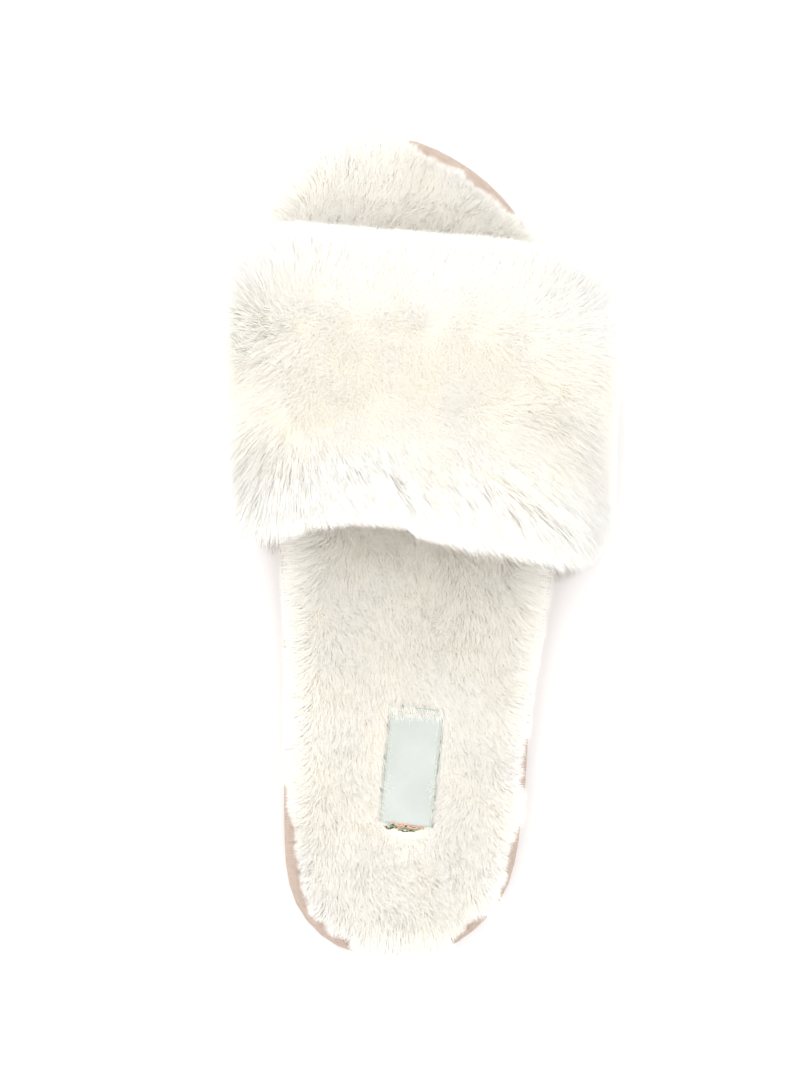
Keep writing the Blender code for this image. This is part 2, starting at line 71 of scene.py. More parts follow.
LABEL_CENTRE = np.array((-2.05, -66.75)) * MM
LABEL_HALF = np.array((8.0, 17.5)) * MM
LABEL_TURN = math.radians(-5.8)
LABEL_RIGHT = np.array((math.cos(LABEL_TURN), math.sin(LABEL_TURN)))
LABEL_AHEAD = np.array((-LABEL_RIGHT[1], LABEL_RIGHT[0]))
LABEL_CROWN = 0.55 * MM  # the ribbon's middle above its selvages
RIBBON_THICKNESS = 0.3 * MM
FOLD_RADIUS = 0.55 * MM
FOLD_LENGTH = 6.0 * MM

# Threads at the ribbon's heel end: colour, mm past the end, and where they start and stop across it
LABEL_THREADS = (
    ("tan", 0.3, -5.2, 2.8), ("rose", 0.6, -3.6, 5.4), ("tan", 0.9, -5.0, 0.5), ("rose", 1.2, -3.0, 4.6),
    ("tan", 1.4, 0.4, 5.8), ("rose", 1.6, -2.4, 2.2), ("green", 1.9, -1.6, 4.8), ("green", 1.7, -5.4, -2.6),
    ("green", 2.3, -2.2, 3.4), ("dark", 2.1, -6.6, -2.4), ("dark", 2.6, -1.4, 3.0), ("dark", 1.0, -0.3, 0.6),
    ("dark", 0.8, -4.2, -3.3), ("dark", 0.7, 3.0, 4.0), ("dark", 1.5, -6.8, -5.2),
)

# The near-black 'dark' threads fill the hollow at the ribbon's heel end: painted shadow.
LABEL_THREAD_COLOURS = (
    ("rose", (0.86, 0.56, 0.45), (0.62, 0.34, 0.27)), ("tan", (0.84, 0.68, 0.50), (0.58, 0.42, 0.28)),
    ("green", (0.40, 0.50, 0.30), (0.20, 0.28, 0.14)), ("dark", (0.13, 0.11, 0.10), (0.04, 0.035, 0.03)),
)

# The eye, straight above, and the height at which the outlines below were measured
EYE = np.array((-4.05, 1.95)) * MM
EYE_HEIGHT = 1300 * MM  # above the sole plane
SOLE_PLANE = 25 * MM
FRAME_HEIGHT = 330.6 * MM  # how much of the sole plane the picture's height takes in
SENSOR_HEIGHT = 36.0  # in the camera's own millimetres
SEAM_STEP = 0.35 * MM  # a point of the outline this far inside its neighbours belongs to the seam

# Where the strap's pile ends, seen from above, in mm: y at each x, and x at each y
FRONT_TIPS = (
    (-62, 84), (-60, 87.6), (-55, 95.5), (-45, 99.5), (-39, 100), (-24, 98.6), (-9, 97),
    (6.7, 96), (25, 94.5), (43.4, 91.5), (59.3, 84), (63, 78),
)
REAR_TIPS = (
    (-44, -1), (-42, 0.4), (-30, 4.7), (-19.4, 6.2), (-7.1, 5.3), (-1.9, 5), (1.2, 1.6), (9.7, -1.4),
    (17.4, -4.5), (28.7, -6), (34.8, -9.4), (40.3, -11.8), (46, -11.2), (55, -5.7), (61, 2),
)
REAR_LOW_TIPS = ((-60, 12), (-56, 6.5), (-50.3, 0.4), (-43.5, -5.7), (-40, -9.5), (-36, -9))
LEFT_TIPS = (
    (-9, -40.8), (-5.7, -43.5), (0.4, -50.3), (6.5, -56), (12.6, -57.6), (18.8, -58.2),
    (31, -59.4), (43.2, -60), (73.8, -60.7), (87.6, -60), (96.2, -55),
)
RIGHT_TIPS = (
    (-11.5, 45.5), (-5.7, 54.7), (0.4, 59.3), (6.5, 60.8), (31, 60.8), (43.2, 61.7),
    (55.5, 62.7), (61.6, 63), (73.8, 61.7), (80, 60.8), (84, 59.3),
)
# Partings in the strap's pile: x and y of both ends in mm, half width in mm, depth
PARTINGS = (
    (12.8, 25, 33, 10.5, 2.6, 0.9), (17, 20, 25, 14, 2.2, 0.8), (-10, 23.5, -6, 14, 1.6, 0.55),
    (-37, 43, -32, 28, 1.8, 0.45), (3, 31, 6, 16, 1.4, 0.4),
)

# Where the footbed's pile is combed away and the wrap shows: x, y, reach along the rim in mm, and how bare
BARE_PLACES = (
    (-1, 123.5, 5, 0.6), (5, 122, 6, 0.9), (11, 119, 7, 1), (17, 115, 7, 1), (22, 110.5, 7, 1),
    (27, 105.5, 6, 0.9), (31, 100.5, 4, 0.5),
    (-41, -78, 6, 0.6), (-41, -86, 7, 0.8), (-41, -94, 8, 0.95), (-39, -102, 8, 1), (-37, -109, 7, 1),
    (-33, -115, 6, 0.9), (-28, -119, 4, 0.7), (-24, -122, 5, 0.9),
    (33, -63, 5, 0.7), (32.5, -69, 5, 0.7), (31, -90, 5, 0.6), (29.5, -97, 5, 0.6), (28, -103, 5, 0.7),
    (20, -117, 6, 0.9), (15, -121, 5, 0.8),
)


# ---------------------------------------------------------------- numbers


def hashed(i, j, seed):
    """A number from 0 to 1 for each cell of a grid, the same on every run."""
    mix = (i.astype(np.int64) * 374761393 + j.astype(np.int64) * 668265263 + seed * 974634777) & 0xFFFFFFFF
    mix = ((mix ^ (mix >> 13)) * 1274126177) & 0xFFFFFFFF
    mix = ((mix ^ (mix >> 15)) * 1103515245) & 0xFFFFFFFF
    return ((mix >> 12) & 0xFFFF) / 65535.0


def noise(u, v, size, seed, octaves=2):
    """Smooth noise from about -1 to 1, with features of the given size."""
    total, weights = 0.0, 0.0
    for octave in range(octaves):
        x, y = u / size * 2**octave, v / size * 2**octave
        i, j = np.floor(x), np.floor(y)
        fx, fy = x - i, y - j
        fx, fy = fx * fx * (3 - 2 * fx), fy * fy * (3 - 2 * fy)
        i, j = i.astype(np.int64), j.astype(np.int64)
        low = hashed(i, j, seed + octave) * (1 - fx) + hashed(i + 1, j, seed + octave) * fx
        high = hashed(i, j + 1, seed + octave) * (1 - fx) + hashed(i + 1, j + 1, seed + octave) * fx
        total = total + (low * (1 - fy) + high * fy) * 0.5**octave
        weights += 0.5**octave
    return total / weights * 2 - 1


def smooth(x, low, high):
    t = np.clip((x - low) / (high - low), 0, 1)
    return t * t * (3 - 2 * t)


def unit(vectors):
    return vectors / np.maximum(np.linalg.norm(vectors, axis=-1, keepdims=True), 1e-12)


def column(values):
    return np.asarray(values)[:, None]


# ---------------------------------------------------------------- surfaces of CAD nodes


def triangles_of(node):
    """Merged points and triangles of a CAD node."""
    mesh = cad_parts[node].data
    mesh.calc_loop_triangles()
    points = np.empty(len(mesh.vertices) * 3)
    mesh.vertices.foreach_get("co", points)
    corners = np.empty(len(mesh.loop_triangles) * 3, np.int32)
    mesh.loop_triangles.foreach_get("vertices", corners)
    points, merged = np.unique(points.reshape(-1, 3).round(6), axis=0, return_inverse=True)
    return points, merged.ravel()[corners].reshape(-1, 3)


def surface(node, keep):
    """Points, triangles and smooth normals of the faces that keep(centres, normals) picks."""
    points, triangles = triangles_of(node)
    a, b, c = (points[triangles[:, k]] for k in range(3))
    cross = np.cross(b - a, c - a)
    chosen = keep((a + b + c) / 3, unit(cross))
    triangles, cross = triangles[chosen], cross[chosen]
    normals = np.zeros_like(points)
    for k in range(3):
        np.add.at(normals, triangles[:, k], cross)
    return points, triangles, unit(normals), np.linalg.norm(cross, axis=1) / 2


def scatter(patch, density, rng):
    """Random places on a surface: points and smooth normals."""
    points, triangles, normals, areas = patch
    count = int(areas.sum() * density)
    picked = triangles[rng.choice(len(triangles), count, p=areas / areas.sum())]
    first, second = rng.random(count), rng.random(count)
    over = first + second > 1
    first[over], second[over] = 1 - first[over], 1 - second[over]
    shares = (1 - first - second, first, second)
    place = sum(points[picked[:, k]] * column(shares[k]) for k in range(3))
    normal = sum(normals[picked[:, k]] * column(shares[k]) for k in range(3))
    return place, unit(normal)


def outward(centres):
    """Direction away from the line that the strap arches over."""
    away = centres - np.array((0, 0, AXIS_HEIGHT))
    away[:, 1] = 0
    return unit(away)


def arc_length(points):
    """How far round the strap's arch points lie from its middle, on a circle of ARC_RADIUS."""
    return ARC_RADIUS * np.arctan2(points[:, 0], points[:, 2] - AXIS_HEIGHT)


def tangents(normal):
    """The directions across and towards the toe on a surface with the given normals."""
    across = unit(np.cross(FORWARD, normal))
    return across, np.cross(normal, across)


def low_height():
    """The footbed's lower surface: its height at each y."""
    points, triangles = triangles_of("footbed_shearling")
    a, b, c = (points[triangles[:, k]] for k in range(3))
    flat = unit(np.cross(b - a, c - a))[:, 2] < -0.97
    ring = np.unique(triangles[flat])
    order = ring[np.argsort(points[ring, 1])]
    ys, picked = np.unique(points[order, 1].round(4), return_index=True)
    return ys, points[order[picked], 2]


def sole_rim():
    """The sole's outline from above, as a closed loop of points, with outward normals."""
    points, triangles = triangles_of("sole_wrap")
    a, b, c = (points[triangles[:, k]] for k in range(3))
    centre, normal = (a + b + c) / 3, unit(np.cross(b - a, c - a))
    heights = points[triangles][:, :, 2]
    wall = (np.ptp(heights, axis=1) > 12 * MM) & ((centre * normal)[:, :2].sum(1) > 0)
    ring = np.unique(points[np.unique(triangles[wall])][:, :2].round(5), axis=0)
    loop = ring[np.argsort(np.arctan2(ring[:, 1], ring[:, 0]))]
    for _ in range(4):  # the wrap's seam leaves a few points inside the outline
        before, after = np.roll(loop, 1, axis=0), np.roll(loop, -1, axis=0)
        chord = unit(after - before)
        inside = -((loop - before) * np.stack((chord[:, 1], -chord[:, 0]), axis=1)).sum(1)
        loop = loop[(inside < SEAM_STEP) & (np.linalg.norm(loop - before, axis=1) > 0.5 * MM)]
    along = np.roll(loop, -1, axis=0) - np.roll(loop, 1, axis=0)
    return loop, unit(np.stack((along[:, 1], -along[:, 0]), axis=1))


def from_rim(xy, rim):
    """Depth inside the sole's outline (negative outside), direction outwards, and the nearest rim point."""
    loop, normals = rim
    ends = np.roll(loop, -1, axis=0)
    best = np.full(len(xy), np.inf)
    nearest, index = np.zeros_like(xy), np.zeros(len(xy), int)
    for k in range(len(loop)):
        step = ends[k] - loop[k]
        share = np.clip(((xy - loop[k]) @ step) / (step @ step), 0, 1)
        foot = loop[k] + share[:, None] * step
        distance = np.linalg.norm(xy - foot, axis=1)
        closer = distance < best
        best, index = np.where(closer, distance, best), np.where(closer, k, index)
        nearest[closer] = foot[closer]
    inside = ((nearest - xy) * normals[index]).sum(1) > 0
    return np.where(inside, best, -best), normals[index], nearest


# ---------------------------------------------------------------- strands


def clumps(u, v, size, seed):
    """For each strand, the number of its nearest tuft centre."""
    i, j = np.floor(u / size).astype(np.int64), np.floor(v / size).astype(np.int64)
    best, owner = np.full(len(u), np.inf), np.zeros(len(u), np.int64)
    for di in (-1, 0, 1):
        for dj in (-1, 0, 1):
            ci, cj = i + di, j + dj
            su = (ci + 0.5 + 0.9 * (hashed(ci, cj, seed) - 0.5)) * size
            sv = (cj + 0.5 + 0.9 * (hashed(ci, cj, seed + 1) - 0.5)) * size
            distance = (u - su) ** 2 + (v - sv) ** 2
            closer = distance < best
            best, owner = np.where(closer, distance, best), np.where(closer, ci * 100003 + cj, owner)
    return np.unique(owner, return_inverse=True)[1].ravel()


def grow(pile, rng):
    """The curve of every strand, as strands x LEVELS x 3.

    pile holds root, normal, comb (a tangent), length, lean (angles from the normal at root and tip),
    droop, frizz, u and v (a flat map of the surface) and tufts (size, pull) from large to small.
    """
    count = len(pile["root"])
    segment = pile["length"] / (LEVELS - 1)
    lean_root, lean_tip = pile["lean"]
    curve = np.empty((count, LEVELS, 3))
    curve[:, 0] = pile["root"]
    for k in range(1, LEVELS):
        t = (k - 0.5) / (LEVELS - 1)
        angle = lean_root + (lean_tip - lean_root) * t
        step = pile["normal"] * column(np.cos(angle)) + pile["comb"] * column(np.sin(angle))
        step[:, 2] -= pile["droop"] * t
        curve[:, k] = curve[:, k - 1] + unit(step) * column(segment)
    for number, (size, pull) in enumerate(pile["tufts"]):
        owner = clumps(pile["u"], pile["v"], size, pile["seed"] + 10 * number)
        sizes = np.bincount(owner)
        spread = pull * pile["tufted"] * (0.7 + 0.6 * hashed(owner, owner, pile["seed"] + number))
        for k in range(1, LEVELS):
            weight = np.clip(spread * STEPS[k] ** 1.3, 0, 0.95)
            for axis in range(3):
                mean = np.bincount(owner, curve[:, k, axis]) / sizes
                curve[:, k, axis] += weight * (mean[owner] - curve[:, k, axis])
    turn = rng.random(count) * 2 * math.pi
    side = np.cross(pile["normal"], pile["comb"])
    for k in range(1, LEVELS):
        sway = pile["frizz"] * STEPS[k]
        phase = turn + 2.4 * STEPS[k]
        offset = side * column(np.cos(phase) * sway) + pile["comb"] * column(np.sin(phase) * sway * 0.6)
        curve[:, k] += offset + rng.normal(0, 1, (count, 3)) * column(sway * 0.25)
    return curve


def seen(points):
    """Where points appear on the sole plane, looked at from the eye."""
    rise = EYE_HEIGHT / (EYE_HEIGHT - (points[..., 2:] - SOLE_PLANE))
    return EYE + (points[..., :2] - EYE) * rise


def on_line(values, table):
    """A table of pairs read at the given values."""
    return np.interp(values, *np.array(table).T)


def trim(curve, limit, axis, sign, which):
    """Shorten the strands whose tips appear past a limit along one axis."""
    root, tip = seen(curve[:, 0])[:, axis], seen(curve[:, -1])[:, axis]
    beyond = (sign * (tip - limit) > 0) & which
    reach = np.where(np.abs(tip - root) < 1e-6, 1e-6, tip - root)
    share = np.where(beyond, np.clip((limit - root) / reach, 0.3, 1), 1.0)
    curve[:] = curve[:, :1] + (curve - curve[:, :1]) * share[:, None, None]


def ribbons(name, curve, normal, width, hue, light, own, material, rng):
    """One mesh of tapered ribbons along the curves.

    hue and light are each strand's colours, own how far it is shaded by itself, not as part of the pile.
    """
    count = len(curve)
    along = np.empty_like(curve)
    along[:, 1:-1] = curve[:, 2:] - curve[:, :-2]
    along[:, 0] = curve[:, 1] - curve[:, 0]
    along[:, -1] = curve[:, -1] - curve[:, -2]
    along = unit(along)
    flat = unit(np.cross(along, normal[:, None, :]) + 1e-6)
    twist = rng.uniform(-0.75, 0.75, count)[:, None, None]
    across = flat * np.cos(twist) + np.cross(along, flat) * np.sin(twist)
    face = np.cross(across, along)
    taper = np.array((0.8, 1.0, 0.72))
    half = across[:, :3] * (width[:, None] * taper / 2)[:, :, None]
    points = np.empty((count, 7, 3), np.float32)
    points[:, 0:6:2] = curve[:, :3] - half
    points[:, 1:6:2] = curve[:, :3] + half
    points[:, 6] = curve[:, 3]
    level = np.array((0, 0, 1, 1, 2, 2, 3))
    own = own[:, None, None]
    shade = unit((1 - own) * (0.75 * normal[:, None, :] + 0.35 * UP) + own * face)[:, level]
    tops = STEPS[level]
    sides = np.array((-1, 1, -1, 1, -1, 1, 0))
    uv = np.empty((count, 7, 2), np.float32)
    uv[:, :, 0] = np.clip(hue[:, None] + sides * HUE_WIDTH, 0.01, 0.99)
    # lightness from root to tip: the darker roots are partly painted shade deep in the pile
    uv[:, :, 1] = np.clip(light[:, None] * (0.35 + 0.65 * tops), 0.01, 0.99)
    corners = np.array((0, 1, 3, 2, 2, 3, 5, 4, 4, 5, 6))
    loops = (corners + 7 * np.arange(count)[:, None]).ravel()
    starts = (np.array((0, 4, 8)) + 11 * np.arange(count)[:, None]).ravel()
    mesh = bpy.data.meshes.new(name)
    mesh.vertices.add(count * 7)
    mesh.vertices.foreach_set("co", points.ravel())
    mesh.loops.add(len(loops))
    mesh.loops.foreach_set("vertex_index", loops.astype(np.int32))
    mesh.polygons.add(len(starts))
    mesh.polygons.foreach_set("loop_start", starts.astype(np.int32))
    mesh.update(calc_edges=True)
    mesh.uv_layers.new(name=BAKE_UV).uv.foreach_set("vector", uv.reshape(-1, 2)[loops].ravel())
    mesh.polygons.foreach_set("use_smooth", np.ones(len(starts), bool))
    mesh.normals_split_custom_set_from_vertices(shade.reshape(-1, 3))
    mesh.materials.append(material)
    return place(name, mesh)


def place(name, mesh):
    piece = bpy.data.objects.new(name, mesh)
    bpy.context.scene.collection.objects.link(piece)
    return piece


def mesh_of(name, points, faces, material):
    mesh = bpy.data.meshes.new(name)
    mesh.from_pydata(points, [], faces)
    mesh.update()
    mesh.materials.append(material)
    return mesh


def shade_smooth(mesh):
    for polygon in mesh.polygons:
        polygon.use_smooth = True


def apply_modifiers(piece):
    bpy.context.view_layer.update()
    solid = bpy.data.meshes.new_from_object(piece.evaluated_get(bpy.context.evaluated_depsgraph_get()))
    piece.modifiers.clear()
    piece.data = solid
    shade_smooth(solid)


def finish_piece(piece, slot, *nodes):
    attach(piece, "root")
    if nodes:
        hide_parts(*nodes)
    return piece


def pile_pieces(names, pile, curve, bands, rng, slot, node, material):
    """Split one pile into pieces by bands (a number per strand) and make them."""
    for index, name in enumerate(names):
        chosen = np.flatnonzero(bands == index)
        if len(chosen) > MAX_STRANDS:
            raise ValueError(f"{name} has {len(chosen)} strands")
        piece = ribbons(
            name, curve[chosen], pile["normal"][chosen], pile["width"][chosen],
            pile["hue"][chosen], pile["light"][chosen], pile["own"][chosen], material, rng,
        )
        finish_piece(piece, slot, node)


def even_bands(values, count):
    """Which of count equally full bands each value is in."""
    order = np.argsort(values, kind="stable")
    bands = np.empty(len(values), int)
    bands[order] = np.arange(len(values)) * count // len(values)
    return bands


# ---------------------------------------------------------------- materials


class Paint:
    """A material and the nodes that colour it."""

    def __init__(self, name, roughness, specular=0.3):
        self.material = bpy.data.materials.new(name)
        self.material.use_nodes = True
        self.nodes, self.links = self.material.node_tree.nodes, self.material.node_tree.links
        self.shader = self.nodes["Principled BSDF"]
        self.shader.inputs["Roughness"].default_value = roughness
        self.shader.inputs["Specular IOR Level"].default_value = specular

    def node(self, kind, vector=None, **values):
        """A new node with input values by name, and its Vector input linked."""
        node = self.nodes.new(kind)
        for key, value in values.items():
            node.inputs[key].default_value = value
        if vector is not None:
            self.links.new(vector, node.inputs["Vector"])
        return node

    def mix(self, factor, first, second):
        """A colour mix. first and second are colours or sockets."""
        node = self.nodes.new("ShaderNodeMix")
        node.data_type = "RGBA"
        self.links.new(factor, node.inputs["Factor"])
        for key, value in (("A", first), ("B", second)):
            socket = [s for s in node.inputs if s.name == key and s.type == "RGBA"][0]
            if isinstance(value, tuple):
                socket.default_value = (*value, 1.0)
            else:
                self.links.new(value, socket)
        return [s for s in node.outputs if s.type == "RGBA"][0]

    def ramp(self, source, low, high):
        """source mapped so that low gives 0 and high gives 1, clamped."""
        node = self.nodes.new("ShaderNodeMapRange")
        node.inputs["From Min"].default_value = low
        node.inputs["From Max"].default_value = high
        self.links.new(source, node.inputs["Value"])
        return node.outputs["Result"]

    def math(self, operation, first, second=None):
        node = self.nodes.new("ShaderNodeMath")
        node.operation = operation
        for index, value in enumerate((first, second)):
            if isinstance(value, (int, float)):
                node.inputs[index].default_value = value
            elif value is not None:
                self.links.new(value, node.inputs[index])
        return node.outputs[0]

    def colour(self, source):
        self.links.new(source, self.shader.inputs["Base Color"])

    def bump(self, height, distance):
        node = self.node("ShaderNodeBump", Distance=distance, Strength=1.0)
        self.links.new(height, node.inputs["Height"])
        self.links.new(node.outputs["Normal"], self.shader.inputs["Normal"])

    def uv(self, layer):
        """A UV layer as a vector, and its two axes."""
        node = self.nodes.new("ShaderNodeUVMap")
        node.uv_map = layer
        vector = node.outputs["UV"]
        return vector, self.node("ShaderNodeSeparateXYZ", vector).outputs

    def noise(self, scale, detail=3.0, stretch=None):
        coords = self.nodes.new("ShaderNodeTexCoord").outputs["Object"]
        if stretch is not None:
            coords = self.node("ShaderNodeMapping", coords, Scale=stretch).outputs["Vector"]
        return self.node("ShaderNodeTexNoise", coords, Scale=scale, Detail=detail).outputs["Fac"]


def fur_material(name, cool, warm, cool_root_with_shade, warm_root_with_shade):
    """Strand colour from the map: hue across, lightness from root to tip. The roots, warmer and mostly darker than
    the tips, are partly the wool's own tone and partly painted shade deep in the pile.
    """
    paint = Paint(name, 0.85, 0.15)
    _, axes = paint.uv(BAKE_UV)
    tip = paint.mix(axes["X"], cool, warm)
    root = paint.mix(axes["X"], cool_root_with_shade, warm_root_with_shade)
    paint.colour(paint.mix(axes["Y"], root, tip))
    return paint.material


def mottled(name, light, dark, scale, roughness, grain, depth, specular=0.3, stretch=None):
    """Two tones in patches of 1/scale metres, with a fine bumpy grain."""
    paint = Paint(name, roughness, specular)
    patches = paint.ramp(paint.noise(scale, 4.0, stretch), 0.35, 0.65)
    fine = paint.noise(grain, 4.0, stretch)
    paint.colour(paint.mix(paint.ramp(fine, 0.3, 0.7), dark, paint.mix(patches, dark, light)))
    paint.bump(fine, depth)
    return paint.material


def thread_material(name, light, dark, pitch):
    """Twisted yarn: slanting plies with dark furrows."""
    paint = Paint(name, 0.6)
    coords = paint.nodes.new("ShaderNodeTexCoord").outputs["Object"]
    wave = paint.node("ShaderNodeTexWave", coords, Scale=0.314 / pitch, Distortion=1.5)
    wave.bands_direction = "DIAGONAL"
    paint.colour(paint.mix(wave.outputs["Fac"], dark, light))
    paint.bump(wave.outputs["Fac"], 0.08 * MM)
    return paint.material


# ---------------------------------------------------------------- the pile


def strap_patch():
    return surface("strap_lining", lambda centre, normal: (outward(centre) * normal).sum(1) > 0.3)


def make_strap_pile(material):
    rng = np.random.default_rng(11)
    place_on, normal = scatter(strap_patch(), STRAP_DENSITY, rng)
    root = place_on + normal * LINING_TO_SKIN_TOP
    x, y = root[:, 0], root[:, 1]
    s = arc_length(root)
    # where between the skin's rear edge (0) and front edge (1)
    columns = np.linspace(s.min(), s.max(), 25)
    cell = np.clip(np.searchsorted(columns, s) - 1, 0, 23)
    rear = np.array([y[cell == k].min() for k in range(24)])
    front = np.array([y[cell == k].max() for k in range(24)])
    middle = (columns[1:] + columns[:-1]) / 2
    rear_y, front_y = np.interp(s, middle, rear), np.interp(s, middle, front)
    share = (y - rear_y) / (front_y - rear_y)
    count = len(root)
    across, forward = tangents(normal)
    side = s / (85 * MM)
    out = smooth(np.abs(side), 0.35, 0.85)
    rearward = smooth(share, 0.42, 0.12)
    pull_y = 1.25 * smooth(share, 0.6, 0.97) - 0.28 - 0.72 * rearward
    pull_s = np.sign(side) * out * 0.55 + 0.36 * rearward * (1 - out)
    corner = smooth(root[:, 2], 42 * MM, 30 * MM) * smooth(share, 0.22, 0.05)
    pull_s = pull_s * (1 - corner)
    wander = 0.34 * (1 - 0.4 * np.clip(np.hypot(pull_y, pull_s), 0, 1))
    pull_y = pull_y + wander * (noise(s, y, 14 * MM, 3) + 0.8 * noise(s, y, 4 * MM, 4))
    pull_s = pull_s + wander * (noise(s, y, 14 * MM, 8) + 0.8 * noise(s, y, 4 * MM, 9)) + 0.16 * (1 - out)
    for ax, ay, bx, by, half, depth in PARTINGS:
        start, step = np.array((ax, ay)) * MM, np.array((bx - ax, by - ay)) * MM
        offset = np.stack((x, y), axis=1) - start
        along = np.clip((offset @ step) / (step @ step), 0, 1)
        away = offset - along[:, None] * step
        distance = np.linalg.norm(away, axis=1)
        push = depth * np.exp(-(distance / (half * MM)) ** 2) * smooth(distance, 0, 0.6 * MM)
        push = push * smooth(root[:, 2], 45 * MM, 55 * MM)
        pull_s = pull_s + push * away[:, 0] / (distance + 1e-9)
        pull_y = pull_y + push * away[:, 1] / (distance + 1e-9)
    comb = unit(across * column(pull_s) + forward * column(pull_y))
    strength = np.clip(np.hypot(pull_y, pull_s), 0, 1.1)
    edge = np.maximum(smooth(share, 0.84, 1.0), smooth(share, 0.16, 0.0))
    rear_fringe = smooth(share, 0.2, 0.0)
    flatter = 1 - 0.75 * out
    lean_root = 0.12 + 0.33 * strength + (0.3 * edge + 0.25 * rear_fringe) * flatter + 0.15 * corner
    lean_tip = 0.98 + 0.3 * strength * (1 - 0.3 * out) + 0.15 * edge * flatter
    swirl = rng.normal(0, 0.55, count) * (1 - 0.7 * np.maximum(edge, rearward)) * (1 - 0.25 * out)
    swirl = swirl + rng.uniform(-math.pi, math.pi, count) * smooth(strength, 0.38, 0.1)
    comb = unit(comb * column(np.cos(swirl)) + np.cross(normal, comb) * column(np.sin(swirl)))
    length = STRAP_LENGTH * (1 + 0.05 * noise(s, y, 10 * MM, 7)) * rng.uniform(0.84, 1.05, count)
    length *= np.maximum(0.76 + 0.24 * np.maximum(edge, rearward), 1 + 0.55 * (out - 0.25))
    length *= 1 + 0.36 * rear_fringe
    wild = rng.random(count) < 0.03
    length[wild] *= 1.08
    pile = {
        "root": root, "normal": normal, "comb": comb, "length": length,
        "lean": (lean_root + rng.normal(0, 0.1, count), lean_tip + rng.normal(0, 0.16, count)),
        "droop": 0.35 * smooth(np.abs(side), 0.6, 1.0) + 0.25 * edge + 0.35 * rear_fringe,
        "frizz": np.where(wild, 1.6, 0.75) * MM,
        "u": s, "v": y, "seed": 100, "tufted": 0.4 * (1 - 0.85 * out) + 0.6 * rearward * (1 - 0.6 * out),
        "tufts": ((9 * MM, 0.2), (3.8 * MM, 0.34), (1.7 * MM, 0.26)),
        "width": STRAND_WIDTH * (1 + 0.25 * out) * rng.uniform(0.75, 1.25, count),
        "own": 0.13 + 0.3 * smooth(share, 0.1, 0.0) + 0.3 * smooth(share, 0.94, 1.0),
    }
    curve = grow(pile, rng)
    ragged = rng.normal(0, 0.45, count) + 0.7 * noise(s, y, 4 * MM, 27)
    for _ in range(2):
        tx, ty = seen(curve[:, -1]).T / MM
        trim(curve, (on_line(tx, FRONT_TIPS) + ragged) * MM, 1, 1, share > 0.5)
        low = (tx < -35) & (curve[:, -1, 2] < 52 * MM)
        rear_line = np.where(low, on_line(tx, REAR_LOW_TIPS), on_line(tx, REAR_TIPS))
        trim(curve, (rear_line - ragged) * MM, 1, -1, share < 0.5)
        trim(curve, (on_line(ty, LEFT_TIPS) - ragged) * MM, 0, -1, ty > 2)
        trim(curve, (on_line(ty, RIGHT_TIPS) + ragged) * MM, 0, 1, ty > 2)
    # Yellower in the middle is the wool's own tone; pile_long's cool colour is also darker, painted shade on the
    # strap's front, rear edge and sides.
    warmth = 0.8 - 1.05 * np.abs(share - 0.5) * 2 + 0.2 * (1 - np.abs(side) * 2)
    warmth = warmth + 0.35 * noise(s, y, 13 * MM, 21) + rng.normal(0, 0.08, count)
    pile["hue"] = np.clip(warmth, 0.02, 0.98)
    pile["light"] = np.clip(0.88 + 0.08 * noise(s, y, 4 * MM, 23) + rng.normal(0, 0.08, count), 0.3, 1)
    names = (
        "strap_pile_rear", "strap_pile_ankle", "strap_pile_instep",
        "strap_pile_middle", "strap_pile_vamp", "strap_pile_front",
    )
    pile_pieces(names, pile, curve, even_bands(share, len(names)), rng, "strap_pile", "strap_shearling", material)


def make_strap_edges(material):
    """Short pile that closes over the cut edges of the strap's layers, front and rear."""
    rng = np.random.default_rng(14)
    patch = surface("strap_lining", lambda centre, normal: np.abs(normal[:, 1]) > 0.7)
    root, normal = scatter(patch, EDGE_DENSITY, rng)
    count = len(root)
    away = outward(root)
    root = root + away * column(rng.uniform(-0.3, 4.5, count) * MM) - normal * 0.8 * MM
    way = np.sign(normal[:, 1])
    comb = away * column(np.clip(rng.normal(0.1, 0.6, count), -1, 1))
    comb[:, 0] += rng.normal(0, 0.4, count)
    comb = unit(comb - normal * column((comb * normal).sum(1)))
    s = arc_length(root)
    depth = np.linalg.norm((root - np.array((0, 0, AXIS_HEIGHT)))[:, [0, 2]], axis=1)
    pile = {
        "root": root, "normal": normal, "comb": comb,
        "length": rng.uniform(4.5, 7.0, count) * MM,
        "lean": (rng.normal(0.1, 0.1, count), rng.normal(0.7, 0.2, count)),
        "droop": np.full(count, 0.35), "frizz": np.full(count, 0.5 * MM),
        "u": s, "v": depth + way, "seed": 400, "tufted": 1.0,
        "tufts": ((3 * MM, 0.3), (1.4 * MM, 0.25)),
        "width": STRAND_WIDTH * 1.2 * rng.uniform(0.75, 1.25, count),
        "own": np.full(count, 0.5),
        "hue": np.clip(0.3 + rng.normal(0, 0.1, count), 0.02, 0.98),
        "light": np.clip(0.85 + rng.normal(0, 0.1, count), 0.3, 1),
    }
    one = np.zeros(count, int)
    pile_pieces(("strap_pile_edges",), pile, grow(pile, rng), one, rng, "strap_pile", "strap_shearling", material)


def open_edges(triangles):
    """The pairs of points that form a patch's border."""
    edges = np.sort(triangles[:, [0, 1, 1, 2, 2, 0]].reshape(-1, 2), axis=1)
    edges, uses = np.unique(edges, axis=0, return_counts=True)
    return edges[uses == 1]


def edge_distance(points, triangles):
    """Distance of each point of a patch from the nearest point on its open border."""
    border = open_edges(triangles)
    spots = np.concatenate([points[border[:, 0]] * (1 - t) + points[border[:, 1]] * t for t in (0, 0.25, 0.5, 0.75)])
    return np.array([np.linalg.norm(spots - point, axis=1).min() for point in points])


